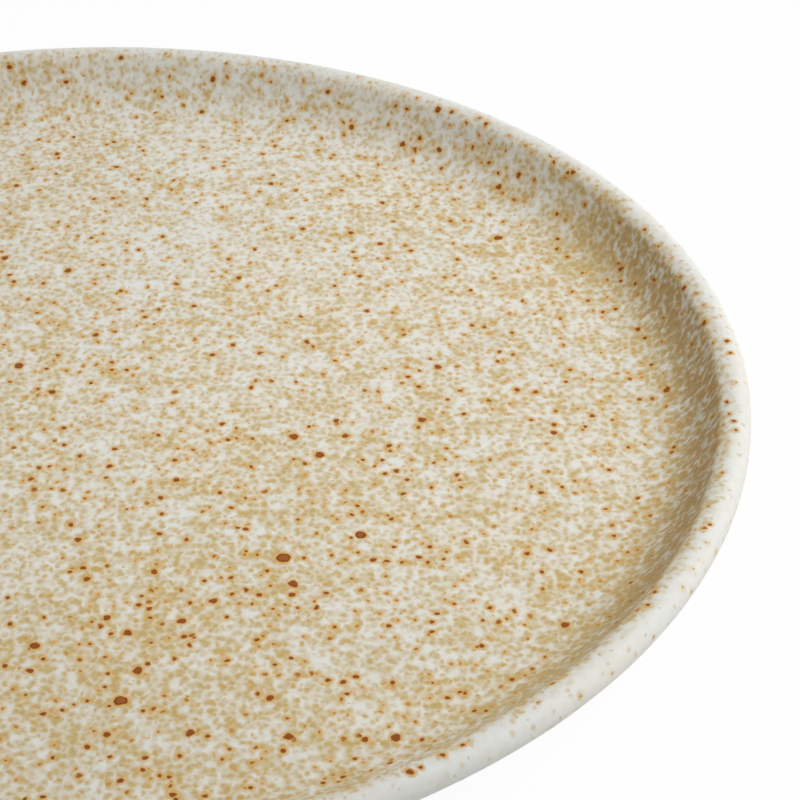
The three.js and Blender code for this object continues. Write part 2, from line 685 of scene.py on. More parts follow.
def store_corners(piece: bpy.types.Object, name: str, values: list[Point]) -> None:
    """Keep a vector for every face corner of a piece."""
    layer = piece.data.attributes.new(name, "FLOAT_VECTOR", "CORNER")
    layer.data.foreach_set("vector", np.array(values, np.float32).ravel())


def store_map(piece: bpy.types.Object, places: list[tuple[float, float]]) -> None:
    """Give a piece the flat map that its colours are baked through."""
    layer = piece.data.uv_layers.new(name=BAKE_MAP)
    layer.data.foreach_set("uv", np.array(places, np.float32).ravel())


def on_disc(share: float, turn: float, hidden: bool) -> tuple[float, float]:
    """Place a corner on the baking map.

    Args:
        share: Distance from the disc's centre, 0 to 1.
        turn: Angle about the centre.
        hidden: Whether the face is out of sight, and so goes to a small disc in the map's corner.

    Returns:
        The place on the map.
    """
    centre, reach = (0.935, 0.055) if hidden else (0.5, 0.49)
    return centre + reach * share * math.cos(turn), centre + reach * share * math.sin(turn)


@dataclass(frozen=True)
class CoveStretch:
    """A stretch of the cove where the glaze ran thick. The brown one is also painted shade on the right wall,
    which faces away from the key lamp.
    """

    middle: float  # turn of its middle, in degrees
    reach: float  # turn from there to either end, in degrees
    rise: float  # millimetres up the cove to where it starts
    depth: float = 11.0  # millimetres from there to where it is strongest


@dataclass(frozen=True)
class SpeckledGlaze:
    """Satin off-white glaze, with tan dots and brown freckles where iron has melted into it.

    Iron is given as a level: at 0 the glaze is white, at 1 gold, at 2 amber, at 3 rust and at 4 umber.
    """

    name: str
    flat_end: float  # the cove starts here along the section
    lip_start: float  # the mottling starts to fade about here along the section
    crest: float  # and has faded here
    mottling: float = 0.295  # mean thickness of the iron in the middle of the face
    nearer: float = 0.0007  # added to it for each millimetre towards the viewer
    freckling: float = 0.31  # share of the places for a freckle that hold one
    stretch: float = 1.2  # the dots are longer than wide, away from the viewer
    lump_size: float = 2.0  # width of the tan lumps
    grain_spacing: float = 1.45  # between the soft grains that break the lumps up
    dot_spacing: float = 2.1  # between the places for a golden dot
    freckle_spacing: float = 2.7  # between the places for a freckle
    pin_spacing: float = 5.5  # between the places for a grey pinhole
    streak_size: float = 1.2  # width of the streaks in the brown run
    iron_run: CoveStretch = CoveStretch(-7.0, 64.0, 1.0)  # where the iron gathered
    brown_and_shade_run: CoveStretch = CoveStretch(-1.0, 40.0, 6.0)  # where the thick glaze turned brown, and painted shade on the right wall of the cove
    patches: tuple[tuple[float, float, float, float], ...] = ()
    cool_white: Colour = paint(228, 230, 227)
    warm_white: Colour = paint(231, 230, 224)
    gold: Colour = paint(202, 179, 126)
    honey: Colour = paint(215, 171, 95)
    amber: Colour = paint(172, 112, 46)
    rust: Colour = paint(132, 56, 15)
    thick_brown_and_shade: Colour = paint(112, 80, 50)
    # brown of the thick glaze, which also serves as painted shade on the right wall of the cove
    umber: Colour = paint(94, 34, 10)
    pin_grey: Colour = paint(120, 118, 108)
    gloss: float = 0.09

    # Shifts that keep the three scatters of dots from falling on one another
    grain_shift: ClassVar[Point] = (9.0, 5.0, 0.0)
    dot_shift: ClassVar[Point] = (0.0, 42.0, 0.0)
    freckle_shift: ClassVar[Point] = (31.0, 17.0, 0.0)

    @staticmethod
    def where(sheet: NodeSheet) -> tuple[Wire, Wire]:
        """Find out where on the glaze a point lies.

        Args:
            sheet: Where the nodes go.

        Returns:
            Its place in the flat layout, and its place along the section.
        """
        place = sheet.stored(SPREAD)
        along = sheet.parts(place)[2]
        return sheet.vector("MULTIPLY", place, (1.0, 1.0, 0.0)), along

    def density(self, sheet: NodeSheet, place: Wire) -> Wire:
        """Say how thick the iron lies in the glaze.

        Args:
            sheet: Where the nodes go.
            place: The glaze laid out flat.

        Returns:
            Its thickness, mostly between 0 and 0.5.
        """
        y = sheet.parts(place)[1]
        thick = self.mottling - self.nearer * y
        thick = thick + 0.3 * sheet.clouds(place, 42.0) + sheet.clouds(place, 7.0, 4.0)
        for across, along, reach, push in self.patches:
            gap = sheet.gap(place, (across, along, 0.0))
            thick = thick + push * sheet.ease(gap, reach, 0.0)
        return thick

    def cove_stretch_mask(self, sheet: NodeSheet, run: CoveStretch, place: Wire, along: Wire) -> Wire:
        """Say where a stretch of the cove is marked: thick glaze, and for the brown stretch also painted
        shade.

        Args:
            sheet: Where the nodes go.
            run: The stretch of the cove.
            place: The glaze laid out flat.
            along: The place along the section.

        Returns:
            1 where the mark is strongest and 0 elsewhere.
        """
        middle = math.radians(run.middle)
        reach = math.radians(run.reach)
        start = self.flat_end + run.rise
        x, y, _ = sheet.parts(sheet.outwards(place))
        turned = x * math.cos(middle) + y * math.sin(middle)
        up_cove = sheet.ease(along, start, start + run.depth)
        below_lip = sheet.ease(along, self.lip_start + 1.6, self.lip_start - 0.5)
        return up_cove * below_lip * sheet.ease(turned, math.cos(reach), math.cos(reach / 3))

    def streaks(self, sheet: NodeSheet, place: Wire, along: Wire) -> Wire:
        """Draw the short slanting streaks of the thick glaze on the cove.

        Args:
            sheet: Where the nodes go.
            place: The glaze laid out flat.
            along: The place along the section.

        Returns:
            Values around 0.
        """
        about = sheet.vector("MULTIPLY", sheet.outwards(place), (self.lip_start, self.lip_start, 0.0))
        downhill = sheet.wire("ShaderNodeCombineXYZ", {}, {1: -0.5 * along, 2: 0.72 * along})
        return sheet.clouds(sheet.vector("ADD", about, downhill), self.streak_size, flat=False)

    def freckles(self, sheet: NodeSheet, moved: Wire, on_face: Wire) -> tuple[Wire, Wire]:
        """Scatter small freckles, fewer and fainter on the lip.

        Args:
            sheet: Where the nodes go.
            moved: The glaze laid out flat and stirred.
            on_face: 1 on the face, and 0 past the lip's crest.

        Returns:
            The level of iron in their cores, and how far the stain round them turns the glaze to honey.
        """
        shifted = sheet.vector("ADD", moved, self.freckle_shift)
        gap, size, depth, chance = sheet.cells(shifted, self.freckle_spacing)
        there = chance > 1.0 - self.freckling * (0.3 + 0.7 * on_face)
        radius = (0.12 + 0.32 * size * size) * (0.5 + 0.5 * on_face)
        core = sheet.ease(gap, radius + 0.55 - 0.2 * depth, radius - 0.2)
        core = core * (1.4 + 1.5 * depth) * (0.6 + 0.4 * on_face)
        honey = sheet.ease(gap, radius + 1.25, 0.4 * radius)
        honey = honey * (0.6 + 0.35 * depth) * (0.3 + 0.7 * on_face)
        return there * core, there * honey

    def iron(self, sheet: NodeSheet) -> tuple[Wire, Wire]:
        """Work out the iron over the glaze.

        Args:
            sheet: Where the nodes go.

        Returns:
            Its level, and how far the stain round a freckle turns the glaze to honey.
        """
        flat, along = self.where(sheet)
        wander = 4.0 * sheet.clouds(flat, 2.2) + 3.0 * sheet.clouds(flat, 9.0)
        on_face = sheet.ease(along + wander, self.crest + 0.6, self.lip_start + 1.2)
        run = self.cove_stretch_mask(sheet, self.iron_run, flat, along)
        # thick brown glaze with its streaks on the right wall of the cove, which is also painted shade there
        brown = self.cove_stretch_mask(sheet, self.brown_and_shade_run, flat, along)

        moved = sheet.vector("MULTIPLY", sheet.stirred(flat, 1.8, 0.5), (1.0, 1 / self.stretch, 1.0))
        lumps = 1.25 * sheet.clouds(moved, self.lump_size) + 2.9 * self.streaks(sheet, flat, along) * brown
        grains = sheet.cells(sheet.vector("ADD", moved, self.grain_shift), self.grain_spacing)
        grain = sheet.ease(grains[0], 1.05, 0.0)
        gap, size, _, chance = sheet.cells(sheet.vector("ADD", moved, self.dot_shift), self.dot_spacing)
        dot = sheet.ease(gap, 0.35 + 0.5 * size, 0.05) * sheet.ease(chance, 0.2, 0.7)

        thick = self.density(sheet, flat) + 0.25 * run + lumps + 0.4 * dot
        thick = thick + 0.48 * (grain - 0.4) * (1.0 - 0.2 * brown)
        tan = (0.09 + 0.15 * brown + 1.1 * sheet.ease(thick, -0.25, 1.1)) * (0.15 + 0.85 * on_face)
        ghost = dot * sheet.ease(chance, 0.15, 1.0) * (1.0 - on_face) * 0.6
        golden = 0.75 * dot * chance * on_face
        core, honey = self.freckles(sheet, moved, on_face)
        return (tan + ghost).at_least(core), golden.at_least(honey)

    def tint(self, sheet: NodeSheet, iron: Wire, stain: Wire) -> Wire:
        """Colour the glaze.

        Args:
            sheet: Where the nodes go.
            iron: The level of iron.
            stain: How far the glaze has turned to honey.

        Returns:
            The colour.
        """
        flat, along = self.where(sheet)
        warmth = sheet.ease(sheet.clouds(flat, 26.0), -0.2, 0.2)
        white = sheet.blend(warmth, self.cool_white, self.warm_white)
        gap, size, _, chance = sheet.cells(flat, self.pin_spacing)
        pin = sheet.ease(gap, 0.14 + 0.1 * size, 0.05) * (chance > 0.7)
        colour = sheet.blend(pin * 0.7, white, self.pin_grey)
        golden = sheet.ramp(iron, 0.0)
        colour = sheet.blend(stain, sheet.blend(golden, colour, self.gold), self.honey)
        # darker brown on the right wall of the cove: partly thick glaze, partly painted shade where that wall
        # faces away from the key lamp
        brown = (0.08 + 0.2 * golden) * self.cove_stretch_mask(sheet, self.brown_and_shade_run, flat, along)
        colour = sheet.blend(brown, colour, self.thick_brown_and_shade)
        for level, shade in ((1.0, self.amber), (2.0, self.rust), (3.0, self.umber)):
            colour = sheet.blend(sheet.ramp(iron, level), colour, shade)
        return colour

    def surface(self, sheet: NodeSheet, iron: Wire, stain: Wire) -> None:
        """Give the glaze its colour, its satin and its faint orange-peel relief.

        Args:
            sheet: Where the nodes go.
            iron: The level of iron, which makes the glaze a little drier.
            stain: How far the glaze has turned to honey.
        """
        flat = sheet.stored(SPREAD)
        dark = sheet.ramp(iron, 1.5)
        roughness = 0.42 + 0.12 * dark + 0.2 * sheet.clouds(flat, 7.0)
        peel = sheet.clouds(flat, 1.5, 1.0) + 0.4 * dark
        sheet.close(self.tint(sheet, iron, stain), roughness, sheet.relief(peel, 0.012), self.gloss)

    def material(self) -> bpy.types.Material:
        """Build the glaze.

        Returns:
            Its material.
        """
        material, sheet = fresh_material(self.name)
        self.surface(sheet, *self.iron(sheet))
        return material


@dataclass(frozen=True)
class IronSpeckGlaze:
    """The glaze where an iron speck has melted: a rust core with a golden stain that runs out into it."""

    glaze: SpeckledGlaze
    name: str = "iron_speck_glaze"
    core: float = 2.68  # level of iron in a core
    ring: float = 0.7  # added at a core's rim
    heart: float = 0.2  # taken away at the middle of a ringed core

    def material(self) -> bpy.types.Material:
        """Build the speck's glaze over the iron of the glaze round it.

        Returns:
            Its material.
        """
        material, sheet = fresh_material(self.name)
        edge, heart, strength = sheet.parts(sheet.stored(SPECK))
        flat = sheet.stored(SPREAD)
        ground, honey = self.glaze.iron(sheet)
        uneven = edge + 0.6 * sheet.clouds(flat, 0.9)
        inside = sheet.ease(uneven, 0.28, -0.24)
        rim = sheet.ease(uneven, -0.45, -0.1) * (0.2 + 0.8 * heart)
        middle = sheet.ease(uneven, -0.3, -0.62) * heart
        stain = sheet.ease(edge + 0.9 * sheet.clouds(flat, 1.3), 0.95, 0.2) * strength
        iron = (self.core + self.ring * rim - self.heart * middle) * inside
        self.glaze.surface(sheet, ground.at_least(iron), honey.at_least(stain))
        return material


@dataclass(frozen=True)
class BareClay:
    """Dry buff stoneware with grog in it, toasted where it meets the glaze."""

    coat_end: float
    island_edge: float
    name: str = "bare_clay"
    buff: Colour = paint(205, 181, 146)
    pale: Colour = paint(219, 200, 170)
    toast: Colour = paint(176, 128, 82)
    grog: Colour = paint(146, 112, 80)

    def material(self) -> bpy.types.Material:
        """Build the clay.

        Returns:
            Its material.
        """
        material, sheet = fresh_material(self.name)
        metres = sheet.wire("ShaderNodeTexCoord", {}, {}, "Object")
        place = sheet.vector("DIVIDE", metres, (METRES, METRES, METRES))
        x, y, _ = sheet.parts(place)
        radius = (x * x + y * y) ** 0.5
        wander = 1.6 * sheet.clouds(place, 6.0, 3.0, flat=False)
        near_coat = sheet.ease(radius + wander, self.coat_end - 2.4, self.coat_end - 0.3)
        near_island = sheet.ease(radius + wander, self.island_edge + 2.8, self.island_edge + 0.3)
        mealy = sheet.clouds(place, 1.1, 4.0, flat=False)
        colour = sheet.blend(sheet.ease(mealy, -0.2, 0.2), self.buff, self.pale)
        colour = sheet.blend(near_coat.at_least(near_island) * 0.75, colour, self.toast)
        grains = sheet.node("ShaderNodeTexVoronoi", {}, {"Vector": place, "Scale": 1.1})
        grain = sheet.ease(Wire(sheet, grains.outputs["Distance"]), 0.3, 0.16)
        colour = sheet.blend(grain * 0.6, colour, self.grog)
        grit = sheet.clouds(place, 0.5, 3.0, flat=False) - 0.35 * grain
        sheet.close(colour, 0.88 + 0.2 * mealy, sheet.relief(grit, 0.16), 0.3)
        return material


@dataclass
class GlazeCoat:
    """The coat of glaze on the face, over the lip and down the outside to the foot."""

    section: PlateSection
    finish: SpeckledGlaze
    thickness: float = 0.5
    edge_wander: float = 0.55  # how far the lower edge strays from its circle
    edge_fade: float = 9.0  # over which the straying dies away from the edge
    edge_depth: float = 0.3  # how far its rounding reaches towards the axis
    edge_step: float = 0.25  # between its rings in the flat layout
    segments: int = 256
    inner_step: int = 4  # the face that lies on the clay takes every such ring

    def _stray(self, turn: float, along: float) -> float:
        """Say how far the coat's lower edge strays outwards at a turn, fading away from the edge."""
        fade = max(0.0, 1 + (along - self.section.end) / self.edge_fade)
        return fade * self.edge_wander * wavering(turn, 0.3, 6.0, 19.0)

    def _outer_rings(self, form: TurnedForm) -> list[float]:
        """Add the rings of the glaze's surface and of its rounded lower edge.

        Args:
            form: The mesh that takes the rings.

        Returns:
            Each ring's place along the section.
        """
        section = self.section
        places = [float(along) for along in section.along[1:]]
        for along in places:
            ring = []
            for turn in form.turns:
                x, y, z = section.surface(along, turn)
                stray = self._stray(turn, along)
                ring.append((x + stray * math.cos(turn), y + stray * math.sin(turn), z))
            form.rings.append(ring)
        for bend in EDGE_BENDS:
            angle = math.radians(bend)
            inwards = self.edge_depth * math.sin(angle)
            sink = self.thickness * (1 - math.cos(angle))
            form.rings.append(self._edge_ring(form, inwards, sink))
        return places + [section.end + self.edge_step * (step + 1) for step in range(len(EDGE_BENDS))]

    def _edge_ring(self, form: TurnedForm, inwards: float, sink: float) -> list[Point]:
        """Return a ring of the coat's rounded lower edge.

        Args:
            form: The mesh that takes the ring.
            inwards: Distance towards the axis from where the surface ends.
            sink: Distance up from the surface into the coat.

        Returns:
            The ring's points.
        """
        section = self.section
        level = section.underside + sink
        ring = []
        for turn in form.turns:
            radius = section.coat_end + self._stray(turn, section.end) - inwards
            ring.append((radius * math.cos(turn), radius * math.sin(turn), level))
        return ring

    def _inner_rings(self, form: TurnedForm) -> int:
        """Add the rings that lie on the clay, back to the axis.

        Args:
            form: The mesh that takes the rings.

        Returns:
            The number of rings added.
        """
        section = self.section
        count = len(section.along)
        places = sorted(set(range(self.inner_step, count, self.inner_step)) - {count - 1}, reverse=True)
        for place in places:
            radius, level = section.points[place] - self.thickness * section.normals[place]
            form.add_circle(radius, level)
        return len(places)

    def build(self) -> bpy.types.Object:
        """Make the coat, lay its glaze out flat and dress it.

        Returns:
            The piece.
        """
        section = self.section
        form = TurnedForm("glaze_coat", self.segments)
        outer = self._outer_rings(form)
        inner = self._inner_rings(form)
        top = (0.0, 0.0, section.surface(0.0, 0.0)[2])
        piece = form.build(top, (0.0, 0.0, section.face_level - self.thickness))
        spread = []
        places = []
        for band, ring, turn in form.corners():
            hidden = band >= len(outer) - 1
            if hidden:
                spread.append(section.laid_flat(section.end, turn, Side.OUTSIDE))
                share = (len(outer) + inner - ring) / (inner + 1)
            else:
                along = 0.0 if ring < 0 else outer[ring]
                first = 0.0 if band < 0 else outer[band]
                side = Side.FACE if first < section.turn_under - 0.01 else Side.OUTSIDE
                spread.append(section.laid_flat(along, turn, side))
                share = along / outer[-1]
            places.append(on_disc(share, turn, hidden))
        store_corners(piece, SPREAD, spread)
        store_map(piece, places)
        piece.data.materials.append(self.finish.material())
        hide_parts("face_glaze")
        return piece


@dataclass
class ClayBody:
    """The fired clay under the glaze, bare on its foot ring."""

    section: PlateSection
    finish: BareClay
    glaze_thickness: float = 0.5
    foot_inset: float = 46.0  # lip's outer edge in to the foot ring
    foot_width: float = 6.0
    foot_flare: float = 0.8  # how far the ring widens on each side at its root
    foot_edge: float = 1.0  # radius of its two rounded edges
    well_level: float = 2.6  # clay ceiling inside the ring
    groove: float = 0.07  # depth of the turning lines on the foot
    groove_rate: float = 5.2  # radians of their wave for each millimetre
    segments: int = 192
    covered_step: int = 3  # the clay under the glaze takes every such ring of the section

    def _bare_path(self) -> list[tuple[float, float]]:
        """Follow the bare clay from the coat's lower edge, round the foot, to past the island's edge.

        Returns:
            Radius and height of each point.
        """
        section = self.section
        outer = section.radius - self.foot_inset
        inner = outer - self.foot_width
        root = section.underside + self.glaze_thickness
        edge = self.foot_edge
        path = [(section.coat_end - step * 0.4, root) for step in range(4)]
        path.append((outer + self.foot_flare + 0.25, root - 0.05))
        path.append((outer + self.foot_flare * 0.55, root - 0.55))
        path.append((outer + self.foot_flare * 0.2, root - 1.2))
        for step in range(6):
            angle = math.radians(18 * step)
            path.append((outer - edge + edge * math.cos(angle), edge - edge * math.sin(angle)))
        flat = np.linspace(outer - edge, inner + edge, 18)[1:-1]
        for radius in flat.tolist():
            path.append((radius, self.groove * max(0.0, math.sin(self.groove_rate * radius)) ** 2))
        for step in range(6):
            angle = math.radians(90 - 18 * step)
            path.append((inner + edge - edge * math.cos(angle), edge - edge * math.sin(angle)))
        path.append((inner - self.foot_flare * 0.2, self.well_level - 1.0))
        path.append((inner - self.foot_flare * 0.55, self.well_level - 0.4))
        well_edge = inner - self.foot_flare - 0.25
        path.append((well_edge, self.well_level - 0.04))
        return path + [(well_edge - 0.7 * step, self.well_level) for step in range(1, 6)]

    def build(self) -> bpy.types.Object:
        """Make the body, map its bare foot large and dress it.

        Returns:
            The piece.
        """
        section = self.section
        form = TurnedForm("clay_body", self.segments)
        count = len(section.along)
        covered = range(self.covered_step, count - 1, self.covered_step)
        path = [tuple(section.points[p] - self.glaze_thickness * section.normals[p]) for p in covered]
        bare = self._bare_path()
        for radius, level in path + bare:
            form.add_circle(radius, level)
        top = (0.0, 0.0, section.face_level - self.glaze_thickness)
        piece = form.build(top, (0.0, 0.0, self.well_level))
        steps = np.hypot(*np.diff(np.array(bare), axis=0).T)
        laid = bare[-1][0] + np.concatenate([np.cumsum(steps[::-1])[::-1], [0.0]])
        places = []
        for band, ring, turn in form.corners():
            hidden = band < len(path)
            if hidden:
                places.append(on_disc((ring + 1) / (len(path) + 1), turn, True))
            else:
                reach = 0.0 if ring == len(form.rings) else laid[ring - len(path)]
                places.append(on_disc(reach / laid[0], turn, False))
        store_map(piece, places)
        piece.data.materials.append(self.finish.material())
        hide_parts("stoneware_body")
        return piece


@dataclass
class FootWellGlaze:
    """The island of glaze in the recess inside the foot ring."""

    finish: SpeckledGlaze
    radius: float
    low: float
    high: float
    edge_wander: float = 0.5
    edge_share: float = 0.006  # share of the radius that its rounding takes
    swell: float = 0.04
    swell_size: float = 11.0
    segments: int = 160
    rings: int = 26
    hidden_rings: tuple[float, ...] = (0.3, 0.7)  # rings on the clay, as shares of the radius

    def build(self) -> bpy.types.Object:
        """Make the island with a rounded, straying edge and dress it.

        Returns:
            The piece.
        """
        form = TurnedForm("foot_well_glaze_island", self.segments)
        thickness = self.high - self.low
        for share in self.hidden_rings:
            form.rings.append(self._ring(form, share, self.high))
        for angle in (0, *EDGE_BENDS):
            bend = math.radians(angle)
            level = self.high - thickness * math.sin(bend)
            form.rings.append(self._ring(form, 1 - self.edge_share * (1 - math.cos(bend)), level))
        for step in range(2, self.rings):
            form.rings.append(self._ring(form, 1 - step / self.rings, self.low))
        piece = form.build((0.0, 0.0, self.high), (0.0, 0.0, self.low))
        spread = []
        places = []
        reach = [math.hypot(*ring[0][:2]) / self.radius for ring in form.rings]
        for band, ring, turn in form.corners():
            share = 0.0 if ring in (-1, len(reach)) else min(reach[ring], 1.0)
            out = self.radius * share
            spread.append((out * math.cos(turn), -out * math.sin(turn), 0.0))
            places.append(on_disc(share, turn, band < len(self.hidden_rings)))
        store_corners(piece, SPREAD, spread)
        store_map(piece, places)
        piece.data.materials.append(self.finish.material())
        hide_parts("foot_well_glaze")
        return piece

    def _ring(self, form: TurnedForm, share: float, level: float) -> list[Point]:
        """Return a ring of the island.

        Args:
            form: The mesh that takes the ring.
            share: Share of the island's radius.
            level: Height of the ring before the glaze's unevenness.

        Returns:
            The ring's points.
        """
        ring = []
        for turn in form.turns:
            stray = self.edge_wander * share**6 * (wavering(turn, 2.0, 5.0, 17.0) - 1)
            radius = self.radius * share + stray
            x = radius * math.cos(turn)
            y = radius * math.sin(turn)
            spot = Vector((x, y, 50.0)) / self.swell_size
            uneven = self.swell * noise.noise(spot) if level == self.low else 0.0
            ring.append((x, y, level + uneven))
        return ring


@dataclass(frozen=True)
class Speck:
    """One iron speck: where its centre lies on the glaze, how wide its core is and how it melted."""

    along: float
    turn: float
    width: float
    kind: SpeckKind = SpeckKind.RUST
    side: Side = Side.FACE

    @property
    def sides(self) -> int:
        """Return how many points go round each of its rings."""
        return 14 if self.width > 1.0 else 10


@dataclass(frozen=True)
class LensGrid:
    """How one lens's points are numbered: its top, its rings outwards, a ring below them, and its root."""

    start: int  # number of the first point
    count: int  # points in each ring
    rings: int

    def faces(self) -> list[tuple[int, ...]]:
        """Join the points: a fan at the top, bands between the rings and a fan below.

        Returns:
            The point numbers of each face.
        """
        around = [(step, (step + 1) % self.count) for step in range(self.count)]
        first = self.start + 1
        faces = [(self.start, first + a, first + b) for a, b in around]
        for ring in range(self.rings - 1):
            low = first + ring * self.count
            high = low + self.count
            faces.extend((low + a, high + a, high + b, low + b) for a, b in around)
        low = first + (self.rings - 1) * self.count
        last = low + self.count
        faces.extend((low + a, last, low + b) for a, b in around)
        return faces

    def rim(self) -> range:
        """Return the numbers of the points round the stain's edge."""
        first = self.start + 1 + (self.rings - 2) * self.count
        return range(first, first + self.count)

    def map_places(self, cell: tuple[int, int], columns: int) -> list[tuple[float, float]]:
        """Lay the lens out as a disc in its own cell of the baking map, with its underside small beside it.

        Args:
            cell: Column and row of the cell.
            columns: Cells in each row.

        Returns:
            A place on the map for every face corner.
        """
        places = []
        for number, face in enumerate(self.faces()):
            below = number >= self.count * (self.rings - 1)
            middle, scale = (0.94, 0.05) if below else (0.46, 0.42)
            for corner in face:
                place = corner - self.start - 1
                ring = 0 if place < 0 else min(place // self.count + 1, self.rings)
                share = (self.rings - ring) / 2 if below else ring / (self.rings - 1)
                if below and place == self.rings * self.count:
                    share = 0.0
                angle = 2 * math.pi * (max(place, 0) % self.count) / self.count
                u = cell[0] + middle + scale * share * math.cos(angle)
                v = cell[1] + middle + scale * share * math.sin(angle)
                places.append((u / columns, v / columns))
        return places


@dataclass
class IronSpecks:
    """Iron specks that stand a hair proud of the glaze, each with its stain."""

    section: PlateSection
    view: PhotoView
    finish: IronSpeckGlaze
    seed: int = 41
    core_share: float = 1.05  # the core's width with its soft edge, as a share of the width as seen
    soft_edge: float = 0.14  # millimetres from the core's edge to the next ring
    stain_width: float = 0.9  # millimetres from the core's edge
    proud: float = 0.016  # height of the stain's edge over the glaze
    dome: float = 0.03  # further height of the core, for each millimetre of its width
    root: float = 0.12  # depth of the underside in the glaze
    scattered: int = 150
    scatter_widths: tuple[float, ...] = (0.6, 0.7, 0.8, 0.9, 1.1, 1.4)
    seam: float = 2.6  # bare of scattered specks on each side of the line where the two layouts meet
    end_margin: float = 3.0  # bare of scattered specks at the coat's lower edge
    seen_from: float = -70.0  # the photograph shows the face to the right of this

    # Photo pixels of the specks that stand out, by the width of their cores in millimetres, read one by one
    ringed: ClassVar[tuple[SightedSpecks, ...]] = (
        (2.5, ((284, 558),)),
        (1.95, ((361, 535),)),
        (2.3, ((121, 701),)),
    )
    sighted: ClassVar[tuple[SightedSpecks, ...]] = (
        (1.8, (
            (293, 584), (138, 671), (35, 646), (498, 238), (396, 738), (294, 437), (320, 455), (19, 366),
        )),
        (1.55, (
            (128, 633), (68, 271), (182, 621), (190, 733), (422, 420), (565, 625), (289, 737), (667, 390),
        )),
        (1.4, (
            (438, 367), (270, 698), (52, 392), (5, 258), (438, 110), (213, 601), (107, 618), (499, 187),
        )),
        (1.25, (
            (107, 735), (373, 560), (96, 335), (87, 579), (292, 595), (365, 740), (403, 144), (239, 278),
            (154, 572), (30, 671), (519, 175), (554, 433), (621, 269), (351, 233), (352, 127), (213, 79),
            (307, 342), (345, 436), (176, 480), (78, 540), (380, 244), (439, 150), (704, 323), (421, 784),
        )),
        (1.15, (
            (17, 186), (57, 154), (24, 83), (10, 67), (173, 795), (121, 781), (336, 421), (638, 329),
        )),
        (1.05, (
            (139, 605), (184, 637), (148, 664), (83, 568), (121, 291), (163, 237), (147, 199), (271, 184),
            (283, 751), (87, 747), (43, 714), (260, 595), (246, 590), (246, 529), (343, 682), (356, 677),
            (422, 740), (482, 646), (512, 680), (527, 554), (550, 550), (457, 475), (554, 425), (592, 416),
            (159, 534), (64, 428), (303, 229), (194, 306), (541, 493), (536, 392), (222, 424), (220, 493),
            (367, 311), (251, 388), (389, 446), (396, 471), (517, 390), (419, 557), (5, 666), (732, 341),
            (161, 498), (31, 479), (80, 456), (71, 525), (213, 355), (233, 345), (66, 82), (121, 58),
            (202, 112), (116, 167), (420, 138), (328, 92), (360, 276), (573, 172), (684, 288), (145, 758),
        )),
        (0.95, (
            (408, 377), (419, 387), (464, 414), (407, 480), (385, 474), (305, 464), (403, 494), (430, 547),
            (228, 440), (158, 435), (127, 370), (112, 370), (47, 369), (175, 460), (64, 445), (115, 449),
            (258, 694), (393, 683), (257, 640), (389, 626), (432, 632), (432, 622), (490, 608), (390, 763),
            (10, 624), (8, 598), (227, 617), (227, 661), (180, 756), (205, 796), (323, 783), (343, 777),
            (10, 275), (14, 282), (114, 142), (452, 112), (486, 124), (415, 149), (411, 251), (451, 221),
        )),
        (0.85, (
            (87, 701), (101, 627), (111, 634), (150, 618), (108, 674), (62, 710), (143, 711), (70, 572),
            (387, 561), (304, 558), (267, 571), (232, 594), (231, 578), (231, 508), (357, 506), (352, 515),
            (326, 593), (190, 603), (204, 581), (43, 659), (44, 617), (291, 658), (275, 665), (558, 239),
            (53, 758), (143, 770), (251, 788), (43, 797), (162, 514), (475, 711), (581, 572), (542, 572),
            (460, 692), (448, 698), (454, 604), (437, 614), (638, 498), (614, 536), (631, 583), (674, 447),
            (570, 370), (651, 365), (635, 284), (616, 309), (603, 312), (489, 163), (557, 214), (568, 173),
            (94, 199), (92, 238), (103, 265), (139, 250), (37, 313), (115, 332), (654, 280), (621, 281),
            (162, 97), (734, 421), (655, 592), (443, 755), (552, 684), (617, 622), (394, 547), (208, 736),
        )),
        (0.8, (
            (737, 353), (648, 605), (609, 470), (585, 427), (531, 420), (566, 382), (572, 292), (512, 333),
            (630, 379), (353, 252), (388, 259), (335, 286), (268, 291), (276, 286), (287, 121), (407, 109),
            (428, 562), (444, 559), (347, 694), (335, 627), (355, 759), (110, 757), (160, 776), (169, 777),
            (390, 451), (434, 463), (430, 359), (363, 460), (382, 460), (10, 382), (38, 389), (91, 383),
        )),
        (0.65, (
            (238, 528), (298, 520), (388, 516), (246, 551), (257, 555), (270, 586), (252, 604), (273, 609),
            (285, 605), (298, 608), (352, 579), (351, 538), (142, 596), (92, 622), (151, 643), (90, 644),
            (175, 659), (105, 687), (109, 706), (74, 705), (194, 638), (736, 430), (729, 414), (704, 528),
            (711, 525), (428, 775), (463, 745), (480, 118), (63, 72), (151, 358), (12, 429), (51, 489),
        )),
    )

    def __post_init__(self) -> None:
        """Find where every speck lies."""
        draw = Random(self.seed)
        self.specks: list[Speck] = []
        for kind, rows in ((SpeckKind.RINGED, self.ringed), (SpeckKind.RUST, self.sighted)):
            for width, pixels in rows:
                for across, down in pixels:
                    along, turn = self.section.seen_at(self.view, across, down)
                    self.specks.append(Speck(along, turn, width, kind))
        self._scatter(draw)

    def _scatter(self, draw: Random) -> None:
        """Add specks at random where the photograph doesn't reach.

        Args:
            draw: The source of chance.
        """
        section = self.section
        count = len(self.specks) + self.scattered
        while len(self.specks) < count:
            turn = draw.uniform(-math.pi, math.pi)
            along = section.end * math.sqrt(draw.random())
            width = draw.choice(self.scatter_widths)
            side = Side.FACE if along < section.turn_under else Side.OUTSIDE
            in_seam = abs(along - section.turn_under) < self.seam or along > section.end - self.end_margin
            seen = side is Side.FACE and section.at(along)[0] * math.cos(turn) > self.seen_from
            if not in_seam and not seen:
                self.specks.append(Speck(along, turn, width, side=side))

